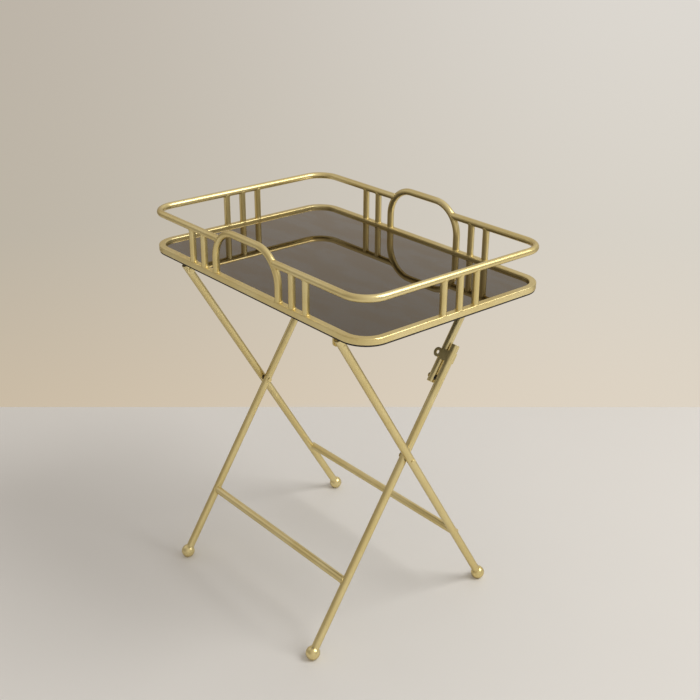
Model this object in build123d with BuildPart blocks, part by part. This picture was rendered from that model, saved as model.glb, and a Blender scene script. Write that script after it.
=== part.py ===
"""Folding tray table: a railed tray with a mirror top on two crossed leg frames that fold flat.

Frame: +X runs along the long sides of the tray, +Y runs from the front side to the back side,
+Z is up. The floor is Z = 0 and the origin is under the middle of the table's outline.
"""

import os
from math import cos, hypot, radians, sin, sqrt

from build123d import *

os.makedirs("parts", exist_ok=True)

# ---- tray ----------------------------------------------------------------------------------
TRAY_Y = 13.6            # the tray's centre lies this far behind the middle of the outline
RAIL_HALF_X = 256.5      # rail centreline, half of its length
RAIL_HALF_Y = 173.5      # rail centreline, half of its width
CORNER_R = 36.0          # plan radius of the rail centreline
ROD_R = 5.3              # upper rail rod, 10.6 mm
HANDLE_R = 5.4
POST_R = 5.15
RAIL_Z = 600.0           # upper rail centreline
RIM_TOP = 546.5
RIM_HEIGHT = 9.5
RIM_WIDTH = 10.6
RIM_EDGE_R = 1.6
BOARD_THICK = 2.5
BOARD_INSET = 1.2
GLASS_THICK = 5.0
GLASS_GAP = 0.4
GLASS_CHAMFER = 0.6

# ---- handles and posts ----------------------------------------------------------------------
HANDLE_HALF = 77.0       # from the tray's middle to a handle leg
HANDLE_TOP = 616.0
HANDLE_BEND = 48.0
POST_PITCH = 31.0        # between neighbouring posts, and from a handle leg to its first post
POST_BELOW_RAIL = 0.5    # a post is cut from a rod that stops this far below the rail's centreline

# ---- leg frames -----------------------------------------------------------------------------
TUBE_R = 6.35            # 12.7 mm leg tube
TUBE_WALL = 1.2          # also the thickness of a closed end
END_ROUND = 0.8
STRETCHER_R = 6.2
STRETCHER_INTO_LEG = 2.1 # how far past a leg's axis, inwards, the stretcher's coped end begins
OUTER_X = 188.9          # leg planes, either side of the middle
INNER_X = 174.5
OUTER_LEAN = 0.5955      # forward travel of the outer legs for each unit of height
INNER_LEAN = 0.6433
FOOT_R = 11.0
FOOT_Z = 9.9             # ball centre above the floor, so that the ball has a small flat
OUTER_FOOT_Y = 161.0
INNER_STRETCHER_DROP = 210.0     # from the crossing down to the stretcher, along the legs
OUTER_STRETCHER_DROP = 205.5
OUTER_STRETCHER_SET = 3.5        # the outer stretcher sits this far behind the leg axes

# ---- pivots, links and clips ------------------------------------------------------------------
PIVOT_Z = 516.0          # hinges under the tray
LEG_PAST_PIVOT = 9.0
LEG_PAST_KNEE = 57.0
LINK_R = 6.3
LINK_X = 159.5
LINK_PAST_PIVOT = 8.0
LINK_PAST_KNEE = 9.0
RIVET_R = 2.5
RUNNING = 0.06           # radial clearance of a turning rivet
FIXED = 0.02             # radial clearance of a rivet that doesn't turn in its hole
HEAD_HEIGHT = 1.3
HEAD_GAP = 0.2
HEAD_R = 4.0             # rivet heads at the knees and the tray
CROSS_HEAD_R = 4.2
HEAD_DOME = 0.9
CROSS_WASHER_R = 5.0
KNEE_WASHER_R = 4.5
PIN_SET_IN = 0.3         # blind rivet ends stop this far inside a tube
PIN_REST = 0.1
LUG_THICK = 2.5
LUG_HALF = 7.0
LUG_GAP = 0.5
LUG_FLANGE = 20.0
LUG_SIDE = 3.0           # the flange is wider than the ear by this much on each side
LUG_CORNER_R = 3.0
LUG_SCREW_R = 1.5
LUG_SCREW_HEAD = 3.0
LUG_SCREW_STEP = 11.0
CLIP_THICK = 1.5
CLIP_GAP = 0.05
CLIP_LOW = 28.4          # clip band above the knee, measured along the leg
CLIP_HIGH = 44.9
EYELET_R = 7.5
EYELET_HOLE = 2.9
EYELET_REACH = 20.3      # from the leg axis to the eyelet's centre
EYELET_NECK = 11.25      # width of the plate where it meets the eyelet
CLIP_MOUTH = (-30, 10, 50)   # the band is open between the first and last of these angles

# ---- screws ---------------------------------------------------------------------------------------
BOARD_SCREW_R = 1.4
BOARD_SCREW_HEAD = 2.8
BOARD_SCREW_LENGTH = 6.0
BOARD_SCREW_X = 120.0    # along the long sides, from the middle
BOARD_SCREW_Y = 85.0     # along the short sides, from the middle
SCREW_HEAD_CHAMFER = 0.5
SCREW_TIP_GAP = 0.2

# ---- worked out from the sizes above ------------------------------------------------------------
RIM_BOTTOM = RIM_TOP - RIM_HEIGHT
BOARD_BOTTOM = RIM_BOTTOM - BOARD_THICK
RIM_HALF_X = RAIL_HALF_X + ROD_R
RIM_HALF_Y = RAIL_HALF_Y + ROD_R
RIM_CORNER = CORNER_R + ROD_R
FRONT_Y = TRAY_Y - RAIL_HALF_Y
BACK_Y = TRAY_Y + RAIL_HALF_Y
INNER_FOOT_Y = -(TRAY_Y + RIM_HALF_Y - FOOT_R)


def on_outer(z):
    """Y of the outer legs' centreline at height z."""
    return OUTER_FOOT_Y - OUTER_LEAN * (z - FOOT_Z)


def on_inner(z):
    """Y of the inner legs' centreline at height z."""
    return INNER_FOOT_Y + INNER_LEAN * (z - FOOT_Z)


def along(start, direction, distance):
    """The Y, Z point at a distance from start along a direction."""
    return (start[0] + direction[0] * distance, start[1] + direction[1] * distance)


def unit(start, end):
    """Length from start to end, and the unit Y, Z direction between them."""
    length = hypot(end[0] - start[0], end[1] - start[1])
    return length, ((end[0] - start[0]) / length, (end[1] - start[1]) / length)


cross_z = FOOT_Z + (OUTER_FOOT_Y - INNER_FOOT_Y) / (OUTER_LEAN + INNER_LEAN)
cross = (on_outer(cross_z), cross_z)
front_pivot = (on_outer(PIVOT_Z), PIVOT_Z)
back_pivot = (on_inner(PIVOT_Z), PIVOT_Z)
outer_foot = (OUTER_FOOT_Y, FOOT_Z)
inner_foot = (INNER_FOOT_Y, FOOT_Z)
outer_length, outer_up = unit(outer_foot, front_pivot)
_, inner_up = unit(inner_foot, back_pivot)
cross_to_front, _ = unit(cross, front_pivot)
cross_to_back, _ = unit(cross, back_pivot)
# The frames fold flat when the knee splits the strut so that the link overreaches by the
# same amount as the tray overreaches the outer leg.
overreach = (back_pivot[0] - front_pivot[0]) - cross_to_front
knee_up = (cross_to_back - overreach) / 2
knee = along(cross, inner_up, knee_up)

SIDES = (("left", -1), ("right", 1))


def leg_plane(x, point, up):
    """A plane square to a leg, with its x along X and its normal up the leg."""
    return Plane(origin=(x, point[0], point[1]), x_dir=(1, 0, 0), z_dir=(0, up[0], up[1]))


def cross_plane(x, point):
    """A plane square to X at a Y, Z point, with its normal along +X."""
    return Plane(origin=(x, point[0], point[1]), x_dir=(0, 1, 0), z_dir=(1, 0, 0))


def save(builder, label):
    """Label one finished piece and write it."""
    builder.part.label = label
    export_step(builder.part, f"parts/{label}.step")
    return builder.part


# ---- tray rim, board and mirror -----------------------------------------------------------------
board_screw_spots = [(sx * BOARD_SCREW_X, sy * RAIL_HALF_Y) for sx in (-1, 1) for sy in (-1, 1)]
board_screw_spots += [(sx * RAIL_HALF_X, sy * BOARD_SCREW_Y) for sx in (-1, 1) for sy in (-1, 1)]

with BuildPart() as tray_rim:
    with BuildSketch(Plane((0, TRAY_Y, RIM_BOTTOM))):
        RectangleRounded(2 * RIM_HALF_X, 2 * RIM_HALF_Y, RIM_CORNER)
        RectangleRounded(2 * (RIM_HALF_X - RIM_WIDTH), 2 * (RIM_HALF_Y - RIM_WIDTH),
                         RIM_CORNER - RIM_WIDTH, mode=Mode.SUBTRACT)
    extrude(amount=RIM_HEIGHT)
    fillet(tray_rim.faces().sort_by(Axis.Z)[-1].edges(), RIM_EDGE_R)
    fillet(tray_rim.faces().sort_by(Axis.Z)[0].edges(), RIM_EDGE_R / 2)
    with BuildSketch(Plane((0, TRAY_Y, RIM_BOTTOM))):
        with Locations(*board_screw_spots):
            Circle(BOARD_SCREW_R + FIXED)
    extrude(amount=BOARD_SCREW_LENGTH - BOARD_THICK, mode=Mode.SUBTRACT)
save(tray_rim, "tray_rim")


def lug_screw_spots(side, ear_x, pivot):
    """Centres of the two screws in a lug's flange, inboard of its ear."""
    x = side * (ear_x - LUG_THICK - LUG_FLANGE / 2)
    return [(x, pivot[0] - LUG_SCREW_STEP / 2), (x, pivot[0] + LUG_SCREW_STEP / 2)]


FRONT_EAR_X = OUTER_X - TUBE_R - LUG_GAP
BACK_EAR_X = LINK_X - LINK_R - LUG_GAP
lug_screws_at = []
for _, side in SIDES:
    lug_screws_at += lug_screw_spots(side, FRONT_EAR_X, front_pivot)
    lug_screws_at += lug_screw_spots(side, BACK_EAR_X, back_pivot)

with BuildPart() as backing_board:
    with BuildSketch(Plane((0, TRAY_Y, BOARD_BOTTOM))):
        RectangleRounded(2 * (RIM_HALF_X - BOARD_INSET), 2 * (RIM_HALF_Y - BOARD_INSET),
                         RIM_CORNER - BOARD_INSET)
        with Locations(*board_screw_spots):
            Circle(BOARD_SCREW_R + FIXED, mode=Mode.SUBTRACT)
        with Locations(*[(x, y - TRAY_Y) for x, y in lug_screws_at]):
            Circle(LUG_SCREW_R + FIXED, mode=Mode.SUBTRACT)
    extrude(amount=BOARD_THICK)
save(backing_board, "backing_board")

with BuildPart() as mirror_glass:
    with BuildSketch(Plane((0, TRAY_Y, RIM_BOTTOM))):
        RectangleRounded(2 * (RIM_HALF_X - RIM_WIDTH - GLASS_GAP),
                         2 * (RIM_HALF_Y - RIM_WIDTH - GLASS_GAP),
                         RIM_CORNER - RIM_WIDTH - GLASS_GAP)
    extrude(amount=GLASS_THICK)
    chamfer(mirror_glass.faces().sort_by(Axis.Z)[-1].edges(), GLASS_CHAMFER)
save(mirror_glass, "mirror_glass")

with BuildPart() as board_screws:
    with BuildSketch(Plane((0, TRAY_Y, BOARD_BOTTOM - HEAD_HEIGHT))):
        with Locations(*board_screw_spots):
            Circle(BOARD_SCREW_HEAD)
    extrude(amount=HEAD_HEIGHT)
    chamfer(board_screws.faces().group_by(Axis.Z)[0].edges(), SCREW_HEAD_CHAMFER)
    with BuildSketch(Plane((0, TRAY_Y, BOARD_BOTTOM))):
        with Locations(*board_screw_spots):
            Circle(BOARD_SCREW_R)
    extrude(amount=BOARD_SCREW_LENGTH - SCREW_TIP_GAP)
save(board_screws, "board_screws")

# ---- handles: an inverted U of rod in the middle of each long side ---------------------------
handles = {}
for name, y in (("handle_front", FRONT_Y), ("handle_back", BACK_Y)):
    with BuildPart() as handle:
        with BuildLine(Plane.XZ.offset(-y)) as arch:
            FilletPolyline((-HANDLE_HALF, RIM_TOP), (-HANDLE_HALF, HANDLE_TOP),
                           (HANDLE_HALF, HANDLE_TOP), (HANDLE_HALF, RIM_TOP), radius=HANDLE_BEND)
        with BuildSketch(Plane((-HANDLE_HALF, y, RIM_TOP))):
            Circle(HANDLE_R)
        sweep(path=arch.wires()[0])
    handles[name] = save(handle, name)

# ---- upper rails: a U of rod round each short end, coped onto the handles ------------------------
rails = {}
for side_name, side in SIDES:
    with BuildPart() as rail:
        start_x = side * (HANDLE_HALF - HANDLE_BEND / 2)
        with BuildLine(Plane.XY.offset(RAIL_Z)) as bend:
            FilletPolyline((start_x, FRONT_Y), (side * RAIL_HALF_X, FRONT_Y),
                           (side * RAIL_HALF_X, BACK_Y), (start_x, BACK_Y), radius=CORNER_R)
        with BuildSketch(Plane((start_x, FRONT_Y, RAIL_Z), x_dir=(0, 1, 0), z_dir=(side, 0, 0))):
            Circle(ROD_R)
        sweep(path=bend.wires()[0])
        # where the handle's centreline crosses the height of the rail
        rise = HANDLE_BEND - (HANDLE_TOP - RAIL_Z)
        inner_end = HANDLE_HALF - HANDLE_BEND + sqrt(HANDLE_BEND ** 2 - rise ** 2)
        with Locations((side * inner_end / 2, TRAY_Y, RAIL_Z)):
            Box(inner_end, 2 * RIM_HALF_Y, 4 * ROD_R, mode=Mode.SUBTRACT)
        add(handles.values(), mode=Mode.SUBTRACT)
    rails[side] = save(rail, f"upper_rail_{side_name}")


# ---- posts: short rods between the rim and the upper rail ------------------------------------------
def make_post(label, x, y):
    """One post, coped under the rail."""
    with BuildPart() as post:
        with BuildSketch(Plane((x, y, RIM_TOP))):
            Circle(POST_R)
        extrude(amount=RAIL_Z - RIM_TOP - POST_BELOW_RAIL)
        add(rails[-1 if x < 0 else 1], mode=Mode.SUBTRACT)
    save(post, label)


long_side_posts = [HANDLE_HALF + 2 * POST_PITCH, HANDLE_HALF + POST_PITCH]
long_side_posts = [-x for x in long_side_posts] + long_side_posts[::-1]
for number, x in enumerate(long_side_posts, 1):
    make_post(f"post_front_{number}", x, FRONT_Y)
    make_post(f"post_back_{number}", x, BACK_Y)
for number, step in enumerate((-1, 0, 1), 1):
    for side_name, side in SIDES:
        make_post(f"post_{side_name}_{number}", side * RAIL_HALF_X, TRAY_Y + step * POST_PITCH)


# ---- hinge lugs under the tray -----------------------------------------------------------------------
def make_lug(label, side, ear_x, pivot, hole_r):
    """An angle bracket: a flange on the board and a round-ended ear with the pivot hole."""
    flange_x = side * (ear_x - (LUG_THICK + LUG_FLANGE) / 2)
    with BuildPart() as lug:
        with Locations((flange_x, pivot[0], BOARD_BOTTOM - LUG_THICK / 2)):
            Box(LUG_THICK + LUG_FLANGE, 2 * (LUG_HALF + LUG_SIDE), LUG_THICK)
        fillet(lug.edges().filter_by(Axis.Z), LUG_CORNER_R)
        with BuildSketch(cross_plane(side * ear_x, pivot)):
            Circle(LUG_HALF)
            with Locations((0, (BOARD_BOTTOM - PIVOT_Z) / 2)):
                Rectangle(2 * LUG_HALF, BOARD_BOTTOM - PIVOT_Z)
        extrude(amount=-side * LUG_THICK)
        with BuildSketch(cross_plane(side * (ear_x + 1), pivot)):
            Circle(hole_r)
        extrude(amount=-side * (LUG_THICK + 2), mode=Mode.SUBTRACT)
        with BuildSketch(Plane((0, 0, BOARD_BOTTOM - LUG_THICK))):
            with Locations(*lug_screw_spots(side, ear_x, pivot)):
                Circle(LUG_SCREW_R + FIXED)
        extrude(amount=LUG_THICK, mode=Mode.SUBTRACT)
    save(lug, label)


for side_name, side in SIDES:
    make_lug(f"hinge_lug_front_{side_name}", side, FRONT_EAR_X, front_pivot, RIVET_R + FIXED)
    make_lug(f"hinge_lug_back_{side_name}", side, BACK_EAR_X, back_pivot, RIVET_R + FIXED)

with BuildPart() as lug_screws:
    screw_bottom = BOARD_BOTTOM - LUG_THICK
    with BuildSketch(Plane((0, 0, screw_bottom - HEAD_HEIGHT))):
        with Locations(*lug_screws_at):
            Circle(LUG_SCREW_HEAD)
    extrude(amount=HEAD_HEIGHT)
    chamfer(lug_screws.faces().group_by(Axis.Z)[0].edges(), SCREW_HEAD_CHAMFER)
    with BuildSketch(Plane((0, 0, screw_bottom))):
        with Locations(*lug_screws_at):
            Circle(LUG_SCREW_R)
    extrude(amount=LUG_THICK + BOARD_THICK - SCREW_TIP_GAP)
save(lug_screws, "lug_screws")


# ---- rivets and washers ------------------------------------------------------------------------------
def rivet(label, side, point, x_in, x_out, heads):
    """A rivet along X from x_in to x_out, with a domed head of the given radius at listed ends."""
    with BuildPart() as pin:
        with BuildSketch(cross_plane(side * x_in, point)):
            Circle(RIVET_R)
        extrude(amount=side * (x_out - x_in))
        for end, radius in heads.items():
            base_x, direction = (x_in, -side) if end == "in" else (x_out, side)
            with BuildSketch(cross_plane(side * base_x, point)):
                Circle(radius)
            extrude(amount=direction * HEAD_HEIGHT)
            rim_edge = pin.edges().filter_by(GeomType.CIRCLE).sort_by(Axis.X)
            fillet(rim_edge[-1 if direction > 0 else 0], HEAD_DOME)
    save(pin, label)


def washer(label, side, point, x_in, x_out, radius):
    """A flat ring round a rivet."""
    with BuildPart() as ring:
        with BuildSketch(cross_plane(side * x_in, point)):
            Circle(radius)
            Circle(RIVET_R + RUNNING, mode=Mode.SUBTRACT)
        extrude(amount=side * (x_out - x_in))
    save(ring, label)


for side_name, side in SIDES:
    rivet(f"cross_rivet_{side_name}", side, cross,
          INNER_X - TUBE_R - HEAD_GAP, OUTER_X + TUBE_R, {"in": CROSS_HEAD_R, "out": CROSS_HEAD_R})
    washer(f"cross_washer_{side_name}", side, cross,
           INNER_X + TUBE_R + HEAD_GAP, OUTER_X - TUBE_R, CROSS_WASHER_R)
    rivet(f"knee_rivet_{side_name}", side, knee,
          LINK_X - LINK_R - HEAD_GAP, INNER_X + TUBE_R - PIN_SET_IN, {"in": HEAD_R})
    washer(f"knee_washer_{side_name}", side, knee, LINK_X + LINK_R + HEAD_GAP,
           INNER_X - TUBE_R, KNEE_WASHER_R)
    rivet(f"front_lug_rivet_{side_name}", side, front_pivot,
          FRONT_EAR_X - LUG_THICK, FRONT_EAR_X, {"in": HEAD_R})
    rivet(f"front_leg_rivet_{side_name}", side, front_pivot,
          OUTER_X - TUBE_R + PIN_REST, OUTER_X + TUBE_R - PIN_SET_IN, {})
    rivet(f"back_rivet_{side_name}", side, back_pivot,
          BACK_EAR_X - LUG_THICK, LINK_X + LINK_R + HEAD_GAP, {"in": HEAD_R, "out": HEAD_R})


# ---- legs, links, stretchers and feet --------------------------------------------------------------
def tube(label, x, start, up, length, radius, holes, closed):
    """A tube with cross holes, each a distance along it and a radius, closed at its top or bottom."""
    bottom, top = (0, length - TUBE_WALL) if closed == "top" else (TUBE_WALL, length)
    with BuildPart() as body:
        with BuildSketch(leg_plane(x, start, up)):
            Circle(radius)
        extrude(amount=length)
        ends = body.faces().filter_by(GeomType.PLANE).sort_by(Axis.Z)
        fillet(ends[-1 if closed == "top" else 0].edges(), END_ROUND)
        with BuildSketch(leg_plane(x, along(start, up, bottom), up)):
            Circle(radius - TUBE_WALL)
        extrude(amount=top - bottom, mode=Mode.SUBTRACT)
        for distance, hole_r in holes:
            with BuildSketch(cross_plane(x - radius - 1, along(start, up, distance))):
                Circle(hole_r)
            extrude(amount=2 * radius + 2, mode=Mode.SUBTRACT)
    save(body, label)


foot_to_cross_outer, _ = unit(outer_foot, cross)
foot_to_cross_inner, _ = unit(inner_foot, cross)
for side_name, side in SIDES:
    tube(f"outer_leg_{side_name}", side * OUTER_X, outer_foot, outer_up,
         outer_length + LEG_PAST_PIVOT, TUBE_R,
         [(foot_to_cross_outer, RIVET_R + FIXED), (outer_length, RIVET_R + FIXED)], "top")
    tube(f"inner_leg_{side_name}", side * INNER_X, inner_foot, inner_up,
         foot_to_cross_inner + knee_up + LEG_PAST_KNEE, TUBE_R,
         [(foot_to_cross_inner, RIVET_R + RUNNING), (foot_to_cross_inner + knee_up, RIVET_R + FIXED)],
         "top")
    tube(f"link_{side_name}", side * LINK_X, along(knee, inner_up, -LINK_PAST_KNEE), inner_up,
         LINK_PAST_KNEE + cross_to_back - knee_up + LINK_PAST_PIVOT, LINK_R,
         [(LINK_PAST_KNEE, RIVET_R + RUNNING),
          (LINK_PAST_KNEE + cross_to_back - knee_up, RIVET_R + RUNNING)], "bottom")


def stretcher(label, leg_x, point, frame):
    """A round bar between two legs, coped onto them."""
    with BuildPart() as bar:
        with BuildSketch(cross_plane(-leg_x, point)):
            Circle(STRETCHER_R)
        extrude(amount=2 * leg_x)
        for _, side in SIDES:
            start, up = (outer_foot, outer_up) if frame == "outer" else (inner_foot, inner_up)
            with BuildSketch(leg_plane(side * leg_x, start, up)):
                Circle(TUBE_R)
            extrude(amount=outer_length, mode=Mode.SUBTRACT)
            with BuildSketch(cross_plane(side * leg_x, point)):
                Circle(2 * STRETCHER_R)
            extrude(amount=-side * STRETCHER_INTO_LEG, mode=Mode.SUBTRACT)
    save(bar, label)


outer_down = (-outer_up[0], -outer_up[1])
inner_down = (-inner_up[0], -inner_up[1])
outer_low = along(cross, outer_down, OUTER_STRETCHER_DROP)
outer_back = (outer_up[1], -outer_up[0])
stretcher("outer_stretcher", OUTER_X, along(outer_low, outer_back, OUTER_STRETCHER_SET), "outer")
stretcher("inner_stretcher", INNER_X, along(cross, inner_down, INNER_STRETCHER_DROP), "inner")


def foot(label, x, centre, up):
    """A ball foot with a flat base, bored for its leg."""
    with BuildPart() as ball:
        with Locations((x, centre[0], centre[1])):
            Sphere(FOOT_R)
        split(bisect_by=Plane((x, centre[0], 0)), keep=Keep.TOP)
        with BuildSketch(leg_plane(x, centre, up)):
            Circle(TUBE_R + FIXED)
        extrude(amount=2 * FOOT_R, mode=Mode.SUBTRACT)
    save(ball, label)


for side_name, side in SIDES:
    foot(f"outer_foot_{side_name}", side * OUTER_X, outer_foot, outer_up)
    foot(f"inner_foot_{side_name}", side * INNER_X, inner_foot, inner_up)


# ---- clips: a sprung band on each inner leg whose plate lies across the link ---------------------------
def clip(label, side):
    """A band round the leg, open on its outer side, with a flat plate and an eyelet."""
    base = leg_plane(side * INNER_X, along(knee, inner_up, CLIP_LOW), inner_up)
    height = CLIP_HIGH - CLIP_LOW
    inside = TUBE_R + CLIP_GAP
    outside = inside + CLIP_THICK
    with BuildPart() as band:
        with BuildSketch(base):
            Circle(outside)
            Circle(inside, mode=Mode.SUBTRACT)
            with BuildLine():
                opening = [(side * 2 * outside * cos(radians(a)), 2 * outside * sin(radians(a)))
                           for a in CLIP_MOUTH]
                Polyline((0, 0), *opening, close=True)
            make_face(mode=Mode.SUBTRACT)
            with Locations((-side * EYELET_REACH / 2, -(inside + outside) / 2)):
                Rectangle(EYELET_REACH, CLIP_THICK)
        extrude(amount=height)
        plate_end = EYELET_REACH - EYELET_R
        with BuildSketch(base):
            with Locations((-side * (plate_end + EYELET_R), -(inside + outside) / 2)):
                Rectangle(2 * EYELET_R, 2 * CLIP_THICK)
        extrude(amount=height, mode=Mode.SUBTRACT)
        face_plane = Plane(origin=base.from_local_coords((0, -inside, 0)), x_dir=base.x_dir,
                           z_dir=-base.y_dir)
        up_sign = 1 if face_plane.y_dir.dot(base.z_dir) > 0 else -1
        with BuildSketch(face_plane):
            with Locations((-side * EYELET_REACH, up_sign * height / 2)):
                Circle(EYELET_R)
                with Locations((side * EYELET_R / 2, 0)):
                    Rectangle(EYELET_R + 1, EYELET_NECK)
                Circle(EYELET_HOLE, mode=Mode.SUBTRACT)
        extrude(amount=CLIP_THICK)
    save(band, label)


for side_name, side in SIDES:
    clip(f"clip_{side_name}", side)
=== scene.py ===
"""Looks for the folding tray table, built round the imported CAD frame."""

from math import cos, pi, radians, sin, sqrt

import bmesh
import bpy
from mathutils import Matrix, Vector, noise


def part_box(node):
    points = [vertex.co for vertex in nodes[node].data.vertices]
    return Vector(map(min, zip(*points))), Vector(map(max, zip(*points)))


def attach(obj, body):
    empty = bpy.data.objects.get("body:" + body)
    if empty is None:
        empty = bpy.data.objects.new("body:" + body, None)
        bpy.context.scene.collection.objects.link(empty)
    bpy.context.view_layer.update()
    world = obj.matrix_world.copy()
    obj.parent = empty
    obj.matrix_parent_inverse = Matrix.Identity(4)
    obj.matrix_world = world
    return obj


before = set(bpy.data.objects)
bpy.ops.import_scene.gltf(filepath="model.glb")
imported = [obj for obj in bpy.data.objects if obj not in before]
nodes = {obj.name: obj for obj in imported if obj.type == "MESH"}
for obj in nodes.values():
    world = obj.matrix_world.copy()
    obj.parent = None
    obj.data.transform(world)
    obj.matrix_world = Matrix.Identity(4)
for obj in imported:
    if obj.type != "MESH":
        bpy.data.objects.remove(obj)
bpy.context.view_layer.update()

# ---- sizes that the pieces below follow, in metres -------------------------------------------
TRAY_Y = 0.0136
RAIL_HALF_X = 0.2565
RAIL_HALF_Y = 0.1735
CORNER_R = 0.036
ROD_R = 0.0053
HANDLE_R = 0.0054
POST_R = 0.00515
RAIL_Z = 0.600
RIM_TOP = 0.5465
RIM_EDGE_R = 0.0016
HANDLE_HALF = 0.077
HANDLE_TOP = 0.616
HANDLE_BEND = 0.048
POST_PITCH = 0.031
TUBE_R = 0.00635
STRETCHER_R = 0.0062
FRONT_Y = TRAY_Y - RAIL_HALF_Y
BACK_Y = TRAY_Y + RAIL_HALF_Y
OUTER_LEAN = 0.5955
INNER_LEAN = 0.6433


# ---- node helpers ------------------------------------------------------------------------------
class Tree:
    """A material's node tree, with short calls to add and link nodes."""

    def __init__(self, name):
        self.material = bpy.data.materials.new(name)
        self.material.use_nodes = True
        self.tree = self.material.node_tree
        self.tree.nodes.clear()
        self.shader = self.add("ShaderNodeBsdfPrincipled")
        out = self.add("ShaderNodeOutputMaterial")
        self.tree.links.new(self.shader.outputs[0], out.inputs[0])

    def add(self, kind, **settings):
        node = self.tree.nodes.new(kind)
        for key, value in settings.items():
            setattr(node, key, value)
        return node

    def feed(self, socket, value):
        if isinstance(value, bpy.types.NodeSocket):
            self.tree.links.new(value, socket)
        else:
            socket.default_value = value

    def math(self, operation, *values):
        node = self.add("ShaderNodeMath", operation=operation)
        for socket, value in zip(node.inputs, values):
            self.feed(socket, value)
        return node.outputs[0]

    def vector(self, operation, *values):
        node = self.add("ShaderNodeVectorMath", operation=operation)
        for socket, value in zip(node.inputs, values):
            self.feed(socket, value)
        return node.outputs["Value" if operation in ("LENGTH", "DOT_PRODUCT") else "Vector"]

    def position(self):
        return self.add("ShaderNodeTexCoord").outputs["Object"]

    def split(self, vector):
        node = self.add("ShaderNodeSeparateXYZ")
        self.feed(node.inputs[0], vector)
        return node.outputs

    def join(self, x, y, z):
        node = self.add("ShaderNodeCombineXYZ")
        for socket, value in zip(node.inputs, (x, y, z)):
            self.feed(socket, value)
        return node.outputs[0]

    def noise(self, vector, scale, detail=2.0, rough=0.5):
        node = self.add("ShaderNodeTexNoise")
        self.feed(node.inputs["Vector"], vector)
        node.inputs["Scale"].default_value = scale
        node.inputs["Detail"].default_value = detail
        node.inputs["Roughness"].default_value = rough
        return node.outputs["Fac"]

    def spread(self, value, low, high, to_low, to_high):
        node = self.add("ShaderNodeMapRange")
        for socket, v in zip(node.inputs, (value, low, high, to_low, to_high)):
            self.feed(socket, v)
        return node.outputs[0]

    def mix(self, factor, a, b):
        node = self.add("ShaderNodeMix", data_type="RGBA")
        self.feed(node.inputs["Factor"], factor)
        self.feed(node.inputs["A"], a)
        self.feed(node.inputs["B"], b)
        return node.outputs["Result"]

    def bump(self, height, distance, strength=1.0, normal=None):
        node = self.add("ShaderNodeBump")
        node.inputs["Strength"].default_value = strength
        node.inputs["Distance"].default_value = distance
        self.feed(node.inputs["Height"], height)
        if normal is not None:
            self.feed(node.inputs["Normal"], normal)
        return node.outputs[0]

    def set(self, **values):
        for key, value in values.items():
            self.feed(self.shader.inputs[key.replace("_", " ")], value)


# ---- streak coordinates: two across the rod, one slow one along it ------------------------------
ALONG_SHRINK = 0.03


def straight_streaks(direction):
    """Coordinates for rods that run one way."""
    def make(t):
        place = t.position()
        axis = Vector(direction).normalized()
        side = axis.orthogonal().normalized()
        other = axis.cross(side)
        return t.join(t.vector("DOT_PRODUCT", place, tuple(side)),
                      t.vector("DOT_PRODUCT", place, tuple(other)),
                      t.math("MULTIPLY", t.vector("DOT_PRODUCT", place, tuple(axis)), ALONG_SHRINK))
    return make


def hoop_streaks(t):
    """Coordinates for the rim and the upper rails, which run round a rounded rectangle."""
    place = t.vector("SUBTRACT", t.position(), (0, TRAY_Y, 0))
    beyond = t.vector("SUBTRACT", t.vector("ABSOLUTE", place),
                      (RAIL_HALF_X - CORNER_R, RAIL_HALF_Y - CORNER_R, 10))
    away = t.vector("LENGTH", t.vector("MAXIMUM", beyond, (0, 0, 0)))
    x, y, z = t.split(place)
    slow = t.math("MULTIPLY", t.math("ADD", x, y), ALONG_SHRINK)
    return t.join(away, z, slow)


def arch_streaks(t):
    """Coordinates for the handles, which run up, over and down in a plane square to Y."""
    place = t.position()
    x, y, z = t.split(place)
    level = t.join(t.math("ABSOLUTE", x), z, 0)
    beyond = t.vector("SUBTRACT", level, (HANDLE_HALF - HANDLE_BEND, HANDLE_TOP - HANDLE_BEND, 0))
    away = t.vector("LENGTH", t.vector("MAXIMUM", beyond, (0, 0, 0)))
    slow = t.math("MULTIPLY", t.math("ADD", x, z), ALONG_SHRINK)
    return t.join(away, y, slow)


# ---- materials ------------------------------------------------------------------------------------
GOLD_DEEP = (0.70, 0.560, 0.220, 1)
GOLD_MID = (0.86, 0.715, 0.325, 1)
GOLD_PALE = (0.93, 0.82, 0.46, 1)
GOLD_EDGE = (0.40, 0.30, 0.12, 1)            # reflection tint at grazing angles


def gold(name, streaks):
    """Satin champagne gold: fine streaks along the rod, a soft metallic grain and slow colour drift."""
    t = Tree(name)
    place = t.position()
    lines = t.noise(streaks(t), 1500, 3, 0.6)
    grain = t.noise(place, 1300, 2, 0.6)
    drift = t.noise(place, 14, 3)
    patches = t.noise(place, 90, 3, 0.6)
    tone = t.math("ADD", t.math("MULTIPLY", lines, 0.45), t.math("MULTIPLY", grain, 0.35))
    tone = t.math("ADD", tone, t.math("MULTIPLY", patches, 0.20))
    colour = t.mix(t.spread(tone, 0.15, 0.85, 0, 1), GOLD_DEEP, GOLD_MID)
    colour = t.mix(t.spread(drift, 0.42, 0.66, 0, 0.45), colour, GOLD_PALE)
    rough = t.math("ADD", t.spread(lines, 0.3, 0.7, 0.27, 0.35), t.spread(patches, 0.35, 0.7, 0, 0.06))
    normal = t.bump(lines, 0.00002, 0.12)
    normal = t.bump(grain, 0.000012, 0.12, normal)
    normal = t.bump(patches, 0.00012, 0.2, normal)
    t.set(Base_Color=colour, Metallic=0.85, Roughness=rough, Normal=normal, Specular_Tint=GOLD_EDGE)
    t.set(Coat_Weight=0.8, Coat_Roughness=0.30, Coat_IOR=1.6)
    return t.material


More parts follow.
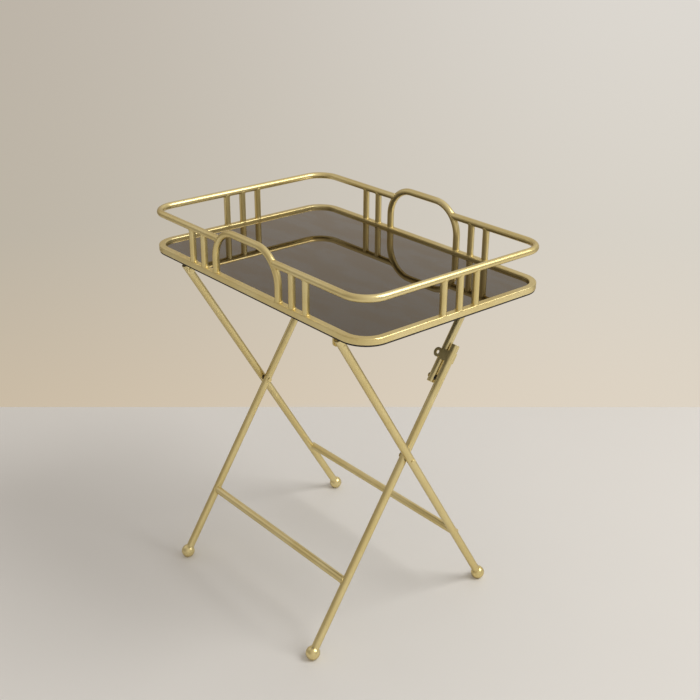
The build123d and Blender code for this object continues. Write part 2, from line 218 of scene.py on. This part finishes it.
MIRROR_DARK = (0.042, 0.034, 0.018, 1)
MIRROR_LIGHT = (0.052, 0.042, 0.025, 1)
MIRROR_EDGE = (0.78, 0.66, 0.53, 1)          # reflection tint at grazing angles


def smoked_mirror():
    """Grey tinted mirror under clear glass, with faint wipe marks and a little dust."""
    t = Tree("smoked_mirror")
    place = t.position()
    wipes = t.noise(t.vector("MULTIPLY", place, (1, 3.4, 1)), 9, 4, 0.6)
    dust = t.noise(place, 2600, 1)
    rough = t.math("ADD", t.spread(wipes, 0.45, 0.75, 0.015, 0.05), t.spread(dust, 0.72, 0.8, 0, 0.3))
    colour = t.mix(t.spread(wipes, 0.35, 0.7, 0, 1), MIRROR_DARK, MIRROR_LIGHT)
    t.set(Base_Color=colour, Metallic=1.0, Roughness=rough,
          Normal=t.bump(t.noise(place, 6, 1), 0.0002, 0.08))
    t.set(Coat_Weight=1.0, Coat_Roughness=0.01, Coat_IOR=1.45, Specular_Tint=MIRROR_EDGE)
    return t.material


def black_board():
    """Painted hardboard with a fine pressed texture."""
    t = Tree("black_board")
    place = t.position()
    fibre = t.noise(t.vector("MULTIPLY", place, (0.25, 1, 1)), 900, 4, 0.65)
    mottle = t.noise(place, 40, 3)
    t.set(Base_Color=t.mix(mottle, (0.010, 0.009, 0.008, 1), (0.026, 0.023, 0.020, 1)),
          Roughness=t.spread(fibre, 0.3, 0.7, 0.5, 0.75), Normal=t.bump(fibre, 0.0001, 0.5))
    return t.material


def black_screws():
    """Blackened steel with turned rings of wear."""
    t = Tree("black_screws")
    place = t.position()
    wear = t.noise(place, 700, 4, 0.7)
    t.set(Base_Color=t.mix(t.spread(wear, 0.55, 0.7, 0, 1), (0.02, 0.02, 0.022, 1), (0.16, 0.15, 0.14, 1)),
          Metallic=0.9, Roughness=t.spread(wear, 0.3, 0.7, 0.32, 0.5), Normal=t.bump(wear, 0.00005, 0.5))
    return t.material


def nylon():
    """Dark nylon washers with a waxy sheen."""
    t = Tree("nylon_washer")
    place = t.position()
    mottle = t.noise(place, 800, 3)
    t.set(Base_Color=t.mix(mottle, (0.035, 0.030, 0.024, 1), (0.060, 0.052, 0.042, 1)),
          Roughness=t.spread(mottle, 0.3, 0.7, 0.4, 0.55), Normal=t.bump(mottle, 0.00004, 0.4))
    return t.material


def finish_node(name, material):
    """Give a CAD node its looks."""
    slots = nodes[name].data.materials
    for index in range(len(slots)):
        slots[index] = material


outer_up = (0, -OUTER_LEAN, 1)
inner_up = (0, INNER_LEAN, 1)
GOLD_HOOP = gold("gold_hoop", hoop_streaks)
GOLD_ARCH = gold("gold_arch", arch_streaks)
GOLD_UP = gold("gold_upright", straight_streaks((0, 0, 1)))
GOLD_ACROSS = gold("gold_across", straight_streaks((1, 0, 0)))
GOLD_OUTER = gold("gold_outer_leg", straight_streaks(outer_up))
GOLD_INNER = gold("gold_inner_leg", straight_streaks(inner_up))

SCREWS = black_screws()
WASHERS = nylon()

LOOKS = (
    ("tray_rim", GOLD_HOOP), ("upper_rail", GOLD_HOOP), ("handle", GOLD_ARCH), ("post", GOLD_UP),
    ("outer_leg", GOLD_OUTER), ("inner_leg", GOLD_INNER), ("link", GOLD_INNER), ("clip", GOLD_INNER),
    ("outer_stretcher", GOLD_ACROSS), ("inner_stretcher", GOLD_ACROSS), ("outer_foot", GOLD_UP),
    ("inner_foot", GOLD_UP), ("hinge_lug", GOLD_UP), ("cross_rivet", GOLD_ACROSS),
    ("knee_rivet", GOLD_ACROSS), ("front_lug_rivet", GOLD_ACROSS), ("front_leg_rivet", GOLD_ACROSS),
    ("back_rivet", GOLD_ACROSS), ("mirror_glass", smoked_mirror()), ("backing_board", black_board()),
    ("board_screws", SCREWS), ("lug_screws", SCREWS),
    ("cross_washer", WASHERS), ("knee_washer", WASHERS),
)
for node_name in nodes:
    for start, material in LOOKS:
        if node_name.startswith(start):
            finish_node(node_name, material)


# ---- weld beads -----------------------------------------------------------------------------------------
BEAD_SEGMENTS = 10
BEAD_TILT = Vector((0.31, 0.22, 0.92))       # any direction that no bead runs along
RIM_BEAD_R = 0.00085
RAIL_BEAD_R = 0.0008
HANDLE_BEAD_R = 0.0010
STRETCHER_BEAD_R = 0.0011
STRETCHER_TURNS = 72
PROUD = 0.0002                               # how far a bead's line stands off the rod below it


def bead(mesh, points, radius, closed=True):
    """Add one lumpy bead along a line of points, ring by ring."""
    rings = []
    count = len(points)
    for i, point in enumerate(points):
        before = points[i - 1] if closed or i else points[i]
        after = points[(i + 1) % count] if closed or i < count - 1 else points[i]
        forward = (after - before).normalized()
        side = forward.cross(BEAD_TILT).normalized()
        lift = forward.cross(side)
        lump = radius * (1 + 0.35 * noise.noise(point * 420) + 0.2 * noise.noise(point * 1300))
        if not closed:
            lump *= sqrt(max(0.05, 1 - (2 * i / (count - 1) - 1) ** 6))
        rings.append([mesh.verts.new(point + lump * (cos(a) * side + sin(a) * lift))
                      for a in (2 * pi * k / BEAD_SEGMENTS for k in range(BEAD_SEGMENTS))])
    for i in range(count if closed else count - 1):
        ring, following = rings[i], rings[(i + 1) % count]
        for k in range(BEAD_SEGMENTS):
            j = (k + 1) % BEAD_SEGMENTS
            mesh.faces.new((ring[k], ring[j], following[j], following[k]))
    if not closed:
        mesh.faces.new(rings[0][::-1])
        mesh.faces.new(rings[-1])


def turns(count=36):
    return [2 * pi * k / count for k in range(count)]


def rim_bead(mesh, x, y, radius, out):
    """Where a rod stands on the rim: out points away from the tray's middle."""
    points = []
    for a in turns():
        place = Vector((radius * cos(a), radius * sin(a), 0))
        over = abs(place.dot(out)) - (ROD_R - RIM_EDGE_R)
        drop = RIM_EDGE_R - sqrt(max(0, RIM_EDGE_R ** 2 - max(0, over) ** 2))
        points.append(Vector((x, y, RIM_TOP - 0.45 * drop + PROUD)) + place * 0.97)
    bead(mesh, points, RIM_BEAD_R)


def rail_bead(mesh, x, y, out):
    """Where a post meets the rail above it."""
    points = []
    for a in turns():
        place = Vector((POST_R * cos(a), POST_R * sin(a), 0))
        across = place.dot(out)
        points.append(Vector((x, y, RAIL_Z - sqrt(ROD_R ** 2 - across ** 2) - PROUD)) + place)
    bead(mesh, points, RAIL_BEAD_R)


def handle_bead(mesh, side, y):
    """Where a rail's end meets the bend of a handle."""
    points = []
    for a in turns():
        across, rise = ROD_R * cos(a), RAIL_Z + ROD_R * sin(a) - (HANDLE_TOP - HANDLE_BEND)
        reach = HANDLE_BEND + sqrt(HANDLE_R ** 2 - across ** 2)
        x = HANDLE_HALF - HANDLE_BEND + sqrt(reach ** 2 - rise ** 2)
        points.append(Vector((side * (x + 0.0001), y + across, RAIL_Z + ROD_R * sin(a))))
    bead(mesh, points, HANDLE_BEAD_R)


def finish_beads(mesh, name, body):
    """Turn a bmesh of beads into a piece that rides on a body."""
    bmesh.ops.recalc_face_normals(mesh, faces=mesh.faces)
    for face in mesh.faces:
        face.smooth = True
    data = bpy.data.meshes.new(name)
    mesh.to_mesh(data)
    mesh.free()
    piece = bpy.data.objects.new(name, data)
    bpy.context.scene.collection.objects.link(piece)
    data.materials.append(GOLD_UP)
    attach(piece, body)


long_posts = [sign * (HANDLE_HALF + step * POST_PITCH) for sign in (-1, 1) for step in (1, 2)]
spots = [(x, y, Vector((0, 1, 0))) for y in (FRONT_Y, BACK_Y) for x in long_posts]
spots += [(sign * RAIL_HALF_X, TRAY_Y + step * POST_PITCH, Vector((1, 0, 0)))
          for sign in (-1, 1) for step in (-1, 0, 1)]
welds = bmesh.new()
for x, y, out in spots:
    rim_bead(welds, x, y, POST_R, out)
    rail_bead(welds, x, y, out)
for side in (-1, 1):
    for y in (FRONT_Y, BACK_Y):
        rim_bead(welds, side * HANDLE_HALF, y, HANDLE_R, Vector((0, 1, 0)))
        handle_bead(welds, side, y)
finish_beads(welds, "tray_welds", "tray")


def stretcher_beads(name, body, stretcher, leg, leg_foot, up):
    """Where a stretcher's ends meet its legs."""
    low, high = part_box(stretcher)
    middle = (low + high) / 2
    leg_low, leg_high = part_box(leg)
    leg_x = abs(leg_low.x + leg_high.x) / 2
    foot_low, foot_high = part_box(leg_foot)
    foot = (foot_low + foot_high) / 2
    run = Vector(up).normalized()
    square = Vector((0, run.z, -run.y))
    mesh = bmesh.new()
    for side in (-1, 1):
        points = []
        for a in turns(STRETCHER_TURNS):
            place = Vector((0, middle.y + STRETCHER_R * cos(a), middle.z + STRETCHER_R * sin(a)))
            across = (place - Vector((0, foot.y, foot.z))).dot(square)
            if abs(across) < TUBE_R * 0.96:
                points.append(Vector((side * (leg_x - sqrt(TUBE_R ** 2 - across ** 2)), place.y, place.z)))
            else:
                points.append(None)
        whole = None not in points
        if not whole:
            gap = next(i for i in range(STRETCHER_TURNS)
                       if points[i] is None and points[i - 1] is not None)
            points = [p for p in points[gap:] + points[:gap] if p is not None]
        bead(mesh, points[::2] if whole else points, STRETCHER_BEAD_R, closed=whole)
    finish_beads(mesh, name, body)


stretcher_beads("outer_frame_welds", "outer_frame", "outer_stretcher", "outer_leg_right",
                "outer_foot_right", outer_up)
stretcher_beads("inner_frame_welds", "inner_frame", "inner_stretcher", "inner_leg_right",
                "inner_foot_right", inner_up)

# ---- camera ------------------------------------------------------------------------------------------
CAMERA_AT = Vector((1.2323, -1.0047, 1.1157))
CAMERA_HEADING = radians(139.83)
CAMERA_DOWN = radians(24.22)
CAMERA_ROLL = radians(0.38)
LENS_MM = 56.85
SENSOR_MM = 36
ahead = Vector((cos(CAMERA_HEADING) * cos(CAMERA_DOWN), sin(CAMERA_HEADING) * cos(CAMERA_DOWN),
                -sin(CAMERA_DOWN)))
level = Vector((sin(CAMERA_HEADING), -cos(CAMERA_HEADING), 0))
raised = level.cross(ahead)
right = level * cos(CAMERA_ROLL) + raised * sin(CAMERA_ROLL)
above = right.cross(ahead)
camera = bpy.data.objects.new("camera", bpy.data.cameras.new("camera"))
camera.data.lens = LENS_MM
camera.data.sensor_width = SENSOR_MM
camera.data.clip_start = 0.05
camera.matrix_world = Matrix((
    (right.x, above.x, -ahead.x, CAMERA_AT.x), (right.y, above.y, -ahead.y, CAMERA_AT.y),
    (right.z, above.z, -ahead.z, CAMERA_AT.z), (0, 0, 0, 1)))
bpy.context.scene.collection.objects.link(camera)
bpy.context.scene.camera = camera

# ---- floor --------------------------------------------------------------------------------------------
FLOOR_FAR = Vector((-0.4258, 0.4004, 0))     # a point on the floor's far edge
FLOOR_EDGE = Vector((0.634, 0.773, 0))       # the direction of that edge
FLOOR_SPAN = 5.0
FLOOR_DARK = (0.785, 0.777, 0.757, 1)
FLOOR_LIGHT = (0.810, 0.802, 0.782, 1)
edge = FLOOR_EDGE.normalized()
near = Vector((edge.y, -edge.x, 0))
floor_mesh = bpy.data.meshes.new("floor")
floor_mesh.from_pydata([FLOOR_FAR - edge * FLOOR_SPAN, FLOOR_FAR - edge * FLOOR_SPAN + near * FLOOR_SPAN,
                        FLOOR_FAR + edge * FLOOR_SPAN + near * FLOOR_SPAN, FLOOR_FAR + edge * FLOOR_SPAN],
                       [], [(0, 1, 2, 3)])
floor = bpy.data.objects.new("floor", floor_mesh)
bpy.context.scene.collection.objects.link(floor)
t = Tree("floor")
cloud = t.noise(t.position(), 3, 3)
t.set(Base_Color=t.mix(cloud, FLOOR_DARK, FLOOR_LIGHT),
      Roughness=t.spread(cloud, 0.3, 0.7, 0.6, 0.7))
floor_mesh.materials.append(t.material)

bpy.context.scene.view_settings.view_transform = "Standard"

# ---- backdrop and lights --------------------------------------------------------------------------------
world = bpy.data.worlds.new("studio")
bpy.context.scene.world = world
world.use_nodes = True
links, world_nodes = world.node_tree.links, world.node_tree.nodes
world_nodes.clear()
background = world_nodes.new("ShaderNodeBackground")
output = world_nodes.new("ShaderNodeOutputWorld")
links.new(background.outputs[0], output.inputs[0])
direction = world_nodes.new("ShaderNodeTexCoord").outputs["Generated"]


def world_node(kind, **settings):
    node = world_nodes.new(kind)
    for key, value in settings.items():
        setattr(node, key, value)
    return node


def dot(vector):
    """How far a direction of the backdrop leans along a vector."""
    node = world_node("ShaderNodeVectorMath", operation="DOT_PRODUCT")
    links.new(direction, node.inputs[0])
    node.inputs[1].default_value = vector
    return node.outputs["Value"]


def ramp(value, *stops):
    """Colours set by a value from -1 to 1."""
    node = world_node("ShaderNodeValToRGB")
    spread = world_node("ShaderNodeMapRange")
    spread.inputs["From Min"].default_value = -1
    links.new(value, spread.inputs[0])
    links.new(spread.outputs[0], node.inputs[0])
    while len(node.color_ramp.elements) < len(stops):
        node.color_ramp.elements.new(0.5)
    for element, (place, colour) in zip(node.color_ramp.elements, stops):
        element.position = (place + 1) / 2
        element.color = (*colour, 1)
    return node.outputs[0]


upward = dot((0, 0, 1))
left_wall = ramp(upward, (-0.47, (0.60, 0.57, 0.53)), (-0.455, (0.60, 0.50, 0.37)),
                 (-0.30, (0.50, 0.45, 0.37)), (0.0, (0.49, 0.44, 0.38)), (0.5, (0.52, 0.47, 0.42)))
right_wall = ramp(upward, (-0.47, (0.64, 0.61, 0.57)), (-0.455, (0.74, 0.66, 0.55)),
                  (-0.30, (0.69, 0.65, 0.58)), (0.0, (0.75, 0.72, 0.68)), (0.5, (0.70, 0.67, 0.63)))


def smooth_range(value, low, high, to_low, to_high):
    node = world_node("ShaderNodeMapRange", interpolation_type="SMOOTHSTEP")
    for name, amount in (("From Min", low), ("From Max", high), ("To Min", to_low), ("To Max", to_high)):
        node.inputs[name].default_value = amount
    links.new(value, node.inputs[0])
    return node.outputs[0]


blend = world_node("ShaderNodeMix", data_type="RGBA")
links.new(smooth_range(dot(tuple(level)), -0.40, 0.34, 0, 1), blend.inputs["Factor"])
links.new(left_wall, blend.inputs["A"])
links.new(right_wall, blend.inputs["B"])
# the studio is darker to both sides of the view, which shades the flanks of the rods
FLANK_SHADE = 0.55
sideways = world_node("ShaderNodeMath", operation="ABSOLUTE")
links.new(dot(tuple(level)), sideways.inputs[0])
flank = smooth_range(sideways.outputs[0], 0.42, 0.85, 1.0, FLANK_SHADE)
shaded = world_node("ShaderNodeMix", data_type="RGBA", blend_type="MULTIPLY")
shaded.inputs["Factor"].default_value = 1.0
links.new(blend.outputs["Result"], shaded.inputs["A"])
links.new(flank, shaded.inputs["B"])
links.new(shaded.outputs["Result"], background.inputs[0])
background.inputs[1].default_value = 1.0

MIDDLE = Vector((0, 0, 0.35))
LIGHT_DISTANCE = 3.2
WARM_WHITE = (1.0, 0.98, 0.95)


def area_light(name, toward, size, watts):
    """A round lamp that stands off from the table's middle and faces it."""
    data = bpy.data.lights.new(name, "AREA")
    data.shape = "DISK"
    data.size = size
    data.energy = watts
    data.color = WARM_WHITE
    lamp = bpy.data.objects.new(name, data)
    lamp.location = MIDDLE + Vector(toward).normalized() * LIGHT_DISTANCE
    lamp.rotation_euler = (MIDDLE - lamp.location).to_track_quat("-Z", "Y").to_euler()
    bpy.context.scene.collection.objects.link(lamp)


area_light("key", (0.42, 0.31, 0.54), 1.9, 49)
area_light("fill", (-0.72, -0.40, 0.50), 2.2, 4)

bpy.context.view_layer.update()
